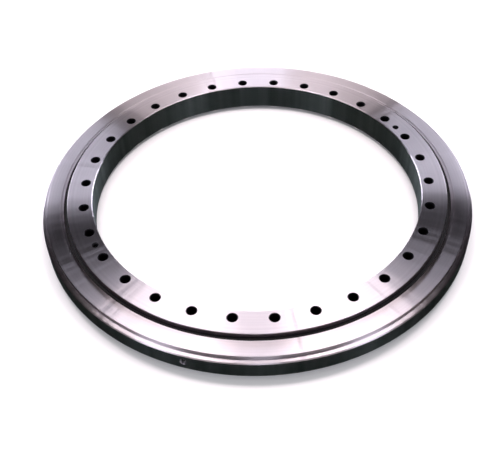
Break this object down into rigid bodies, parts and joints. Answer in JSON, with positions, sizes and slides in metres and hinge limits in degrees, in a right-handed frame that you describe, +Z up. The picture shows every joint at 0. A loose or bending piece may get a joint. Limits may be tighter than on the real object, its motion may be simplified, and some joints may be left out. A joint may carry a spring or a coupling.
{
  "type": "slewing ring bearing",
  "caption": "Slewing ring bearing: flanged outer ring and bolted inner ring turning on caged balls between two lip seals, with sunk grease nipples and a pinned loading plug.",
  "frame": {"origin": "centre of the outer ring's lower face, on the axis of rotation", "axes": "+Z up along the axis of rotation, from the outer ring's lower face towards the inner ring's bolting face; +X through a bolt hole of the inner ring"},
  "size_m": [0.818, 0.818, 0.06],
  "materials": {
    "turned_steel": "face-turned, semi-bright, lightly oiled",
    "plug_steel": "ground flush with the bore",
    "pin_steel": "ground",
    "ball_steel": "polished bearing steel",
    "cage_nylon": "natural moulded nylon",
    "seal_rubber": "matt black nitrile rubber",
    "zinc_plate": "zinc plated"
  },
  "bodies": {
    "fixed_ring": {"outer_ring": "turned_steel", "upper_seal": "seal_rubber", "lower_seal": "seal_rubber", "grease_nipple_1": "zinc_plate", "grease_nipple_2": "zinc_plate", "grease_nipple_3": "zinc_plate", "grease_nipple_4": "zinc_plate"},
    "turning_ring": {"inner_ring": "turned_steel", "loading_plug": "plug_steel", "plug_pin": "pin_steel"},
    "ball_set": {"cage": "cage_nylon", "ball_01": "ball_steel", "ball_02": "ball_steel", "ball_03": "ball_steel", "ball_04": "ball_steel", "ball_05": "ball_steel", "ball_06": "ball_steel", "ball_07": "ball_steel", "ball_08": "ball_steel", "ball_09": "ball_steel", "ball_10": "ball_steel", "ball_11": "ball_steel", "ball_12": "ball_steel", "ball_13": "ball_steel", "ball_14": "ball_steel", "ball_15": "ball_steel", "ball_16": "ball_steel", "ball_17": "ball_steel", "ball_18": "ball_steel", "ball_19": "ball_steel", "ball_20": "ball_steel", "ball_21": "ball_steel", "ball_22": "ball_steel", "ball_23": "ball_steel", "ball_24": "ball_steel", "ball_25": "ball_steel", "ball_26": "ball_steel", "ball_27": "ball_steel", "ball_28": "ball_steel", "ball_29": "ball_steel", "ball_30": "ball_steel", "ball_31": "ball_steel", "ball_32": "ball_steel", "ball_33": "ball_steel", "ball_34": "ball_steel", "ball_35": "ball_steel", "ball_36": "ball_steel", "ball_37": "ball_steel", "ball_38": "ball_steel", "ball_39": "ball_steel", "ball_40": "ball_steel", "ball_41": "ball_steel", "ball_42": "ball_steel", "ball_43": "ball_steel", "ball_44": "ball_steel", "ball_45": "ball_steel", "ball_46": "ball_steel", "ball_47": "ball_steel", "ball_48": "ball_steel"}
  },
  "joints": [
    {"name": "ring_rotation", "type": "hinge", "parent": "fixed_ring", "child": "turning_ring", "pos_m": [0, 0, 0.03], "axis": [0, 0, 1], "continuous": true},
    {"name": "cage_orbit", "type": "hinge", "parent": "fixed_ring", "child": "ball_set", "pos_m": [0, 0, 0.03], "axis": [0, 0, 1], "continuous": true}
  ],
  "couplings": [
    {"joint": "cage_orbit", "follows": "ring_rotation", "ratio": 0.488}
  ]
}
